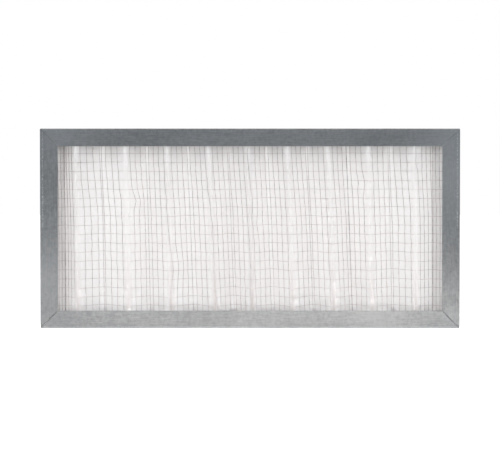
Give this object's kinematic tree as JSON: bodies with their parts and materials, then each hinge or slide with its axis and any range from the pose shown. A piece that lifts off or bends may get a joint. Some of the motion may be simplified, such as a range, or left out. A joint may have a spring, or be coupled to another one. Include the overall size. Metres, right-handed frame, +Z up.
{
  "type": "pleated panel air filter",
  "caption": "Flat pleated filter panel: a folded media sheet backed by welded wire mesh in a folded galvanised sheet steel channel frame.",
  "frame": {"origin": "middle of the frame's bottom face", "axes": "+X along the length to the right, +Y through the depth away from the mesh side, +Z up"},
  "size_m": [0.594, 0.048, 0.282],
  "materials": {
    "galvanised_sheet": "hot-dip galvanised sheet steel, dull grey with fine grain",
    "filter_media": "white nonwoven synthetic filter media, matt",
    "mesh_wire": "galvanised steel wire, dull grey",
    "rivet_aluminium": "plain aluminium blind rivet"
  },
  "bodies": {
    "root": {"frame_top_left_half": "galvanised_sheet", "frame_bottom_right_half": "galvanised_sheet", "filter_media": "filter_media", "mesh_cross_wires": "mesh_wire", "mesh_upright_wires": "mesh_wire", "rivet_top_right": "rivet_aluminium", "rivet_bottom_left": "rivet_aluminium"}
  },
  "joints": []
}
